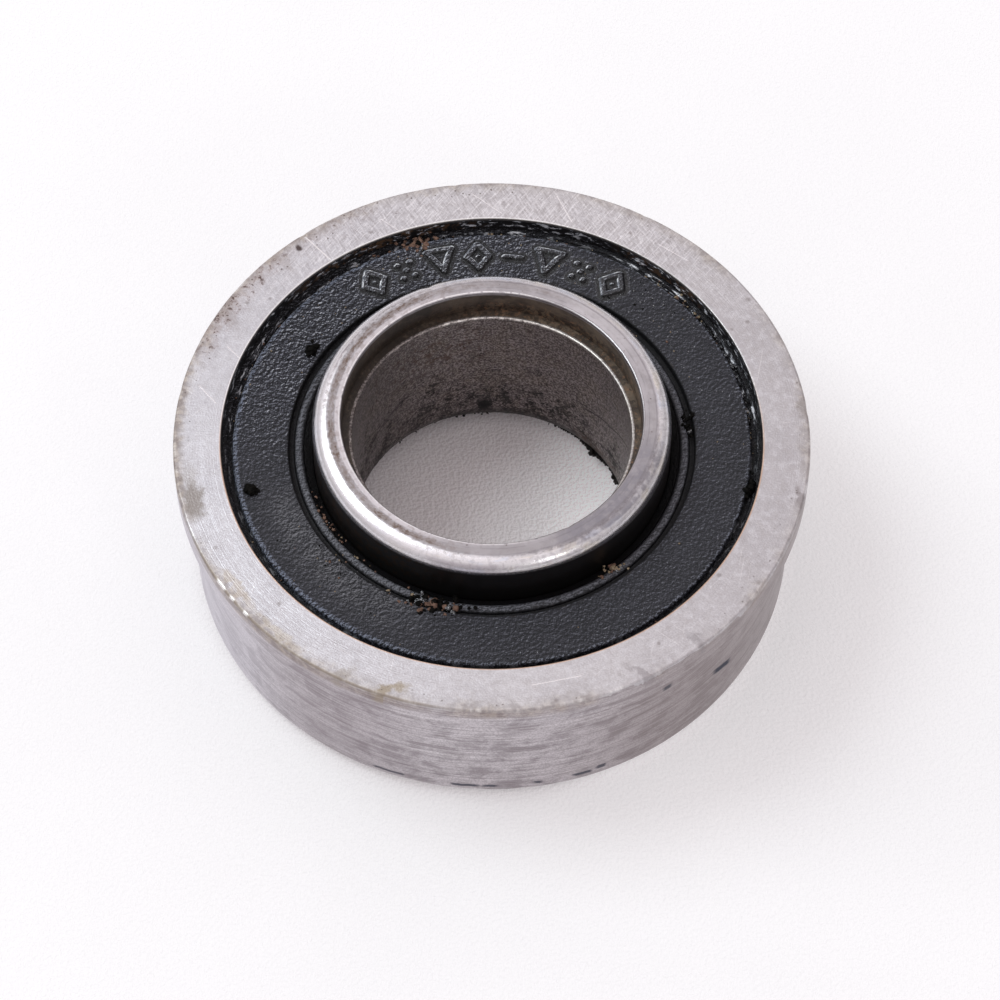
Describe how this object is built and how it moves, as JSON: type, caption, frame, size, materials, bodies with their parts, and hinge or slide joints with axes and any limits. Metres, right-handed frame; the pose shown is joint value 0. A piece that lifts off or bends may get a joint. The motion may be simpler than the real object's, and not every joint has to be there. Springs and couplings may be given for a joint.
{
  "type": "flanged ball bearing",
  "caption": "Sealed deep-groove ball bearing: flanged outer ring, extended counterbored inner ring, balls in a riveted pressed cage, and a rubber seal on each side.",
  "frame": {"origin": "on the bearing axis, in the plane of the outer and inner rings' back faces", "axes": "+Z along the bearing axis, from the back face towards the flange and the extended nose of the inner ring; +X passes through the centre of the first ball"},
  "size_m": [0.0366, 0.0366, 0.013],
  "materials": {
    "outer_ring_steel": "finely ground bearing steel with handling scratches, small pits and stains",
    "inner_ring_steel": "ground bearing steel, polished nose edge, dull stained bore",
    "ball_steel": "lapped and polished bearing steel",
    "cage_steel": "pressed low-carbon steel, satin",
    "rivet_steel": "cold-headed steel wire, satin",
    "seal_rubber": "moulded nitrile rubber, matt and slightly dusty",
    "insert_steel": "stamped sheet steel"
  },
  "bodies": {
    "outer_assembly": {"outer_ring": "outer_ring_steel", "front_seal_rubber": "seal_rubber", "front_seal_insert": "insert_steel", "back_seal_rubber": "seal_rubber", "back_seal_insert": "insert_steel"},
    "inner_ring": {"inner_ring": "inner_ring_steel"},
    "cage": {"cage_front_half": "cage_steel", "cage_back_half": "cage_steel", "cage_rivets": "rivet_steel"},
    "ball_1": {"ball_1": "ball_steel"},
    "ball_2": {"ball_2": "ball_steel"},
    "ball_3": {"ball_3": "ball_steel"},
    "ball_4": {"ball_4": "ball_steel"},
    "ball_5": {"ball_5": "ball_steel"},
    "ball_6": {"ball_6": "ball_steel"},
    "ball_7": {"ball_7": "ball_steel"},
    "ball_8": {"ball_8": "ball_steel"}
  },
  "joints": [
    {"name": "inner_spin", "type": "hinge", "parent": "outer_assembly", "child": "inner_ring", "pos_m": [0, 0, 0.0055], "axis": [0, 0, 1], "continuous": true},
    {"name": "cage_spin", "type": "hinge", "parent": "outer_assembly", "child": "cage", "pos_m": [0, 0, 0.0055], "axis": [0, 0, 1], "continuous": true},
    {"name": "ball_1_spin", "type": "hinge", "parent": "cage", "child": "ball_1", "pos_m": [0.01265, 0, 0.0055], "axis": [0, 0, 1], "continuous": true},
    {"name": "ball_2_spin", "type": "hinge", "parent": "cage", "child": "ball_2", "pos_m": [0.00894, 0.00894, 0.0055], "axis": [0, 0, 1], "continuous": true},
    {"name": "ball_3_spin", "type": "hinge", "parent": "cage", "child": "ball_3", "pos_m": [0, 0.01265, 0.0055], "axis": [0, 0, 1], "continuous": true},
    {"name": "ball_4_spin", "type": "hinge", "parent": "cage", "child": "ball_4", "pos_m": [-0.00894, 0.00894, 0.0055], "axis": [0, 0, 1], "continuous": true},
    {"name": "ball_5_spin", "type": "hinge", "parent": "cage", "child": "ball_5", "pos_m": [-0.01265, 0, 0.0055], "axis": [0, 0, 1], "continuous": true},
    {"name": "ball_6_spin", "type": "hinge", "parent": "cage", "child": "ball_6", "pos_m": [-0.00894, -0.00894, 0.0055], "axis": [0, 0, 1], "continuous": true},
    {"name": "ball_7_spin", "type": "hinge", "parent": "cage", "child": "ball_7", "pos_m": [0, -0.01265, 0.0055], "axis": [0, 0, 1], "continuous": true},
    {"name": "ball_8_spin", "type": "hinge", "parent": "cage", "child": "ball_8", "pos_m": [0.00894, -0.00894, 0.0055], "axis": [0, 0, 1], "continuous": true}
  ],
  "couplings": [
    {"joint": "cage_spin", "follows": "inner_spin", "ratio": 0.38235},
    {"joint": "ball_1_spin", "follows": "inner_spin", "ratio": -2.0073},
    {"joint": "ball_2_spin", "follows": "inner_spin", "ratio": -2.0073},
    {"joint": "ball_3_spin", "follows": "inner_spin", "ratio": -2.0073},
    {"joint": "ball_4_spin", "follows": "inner_spin", "ratio": -2.0073},
    {"joint": "ball_5_spin", "follows": "inner_spin", "ratio": -2.0073},
    {"joint": "ball_6_spin", "follows": "inner_spin", "ratio": -2.0073},
    {"joint": "ball_7_spin", "follows": "inner_spin", "ratio": -2.0073},
    {"joint": "ball_8_spin", "follows": "inner_spin", "ratio": -2.0073}
  ]
}
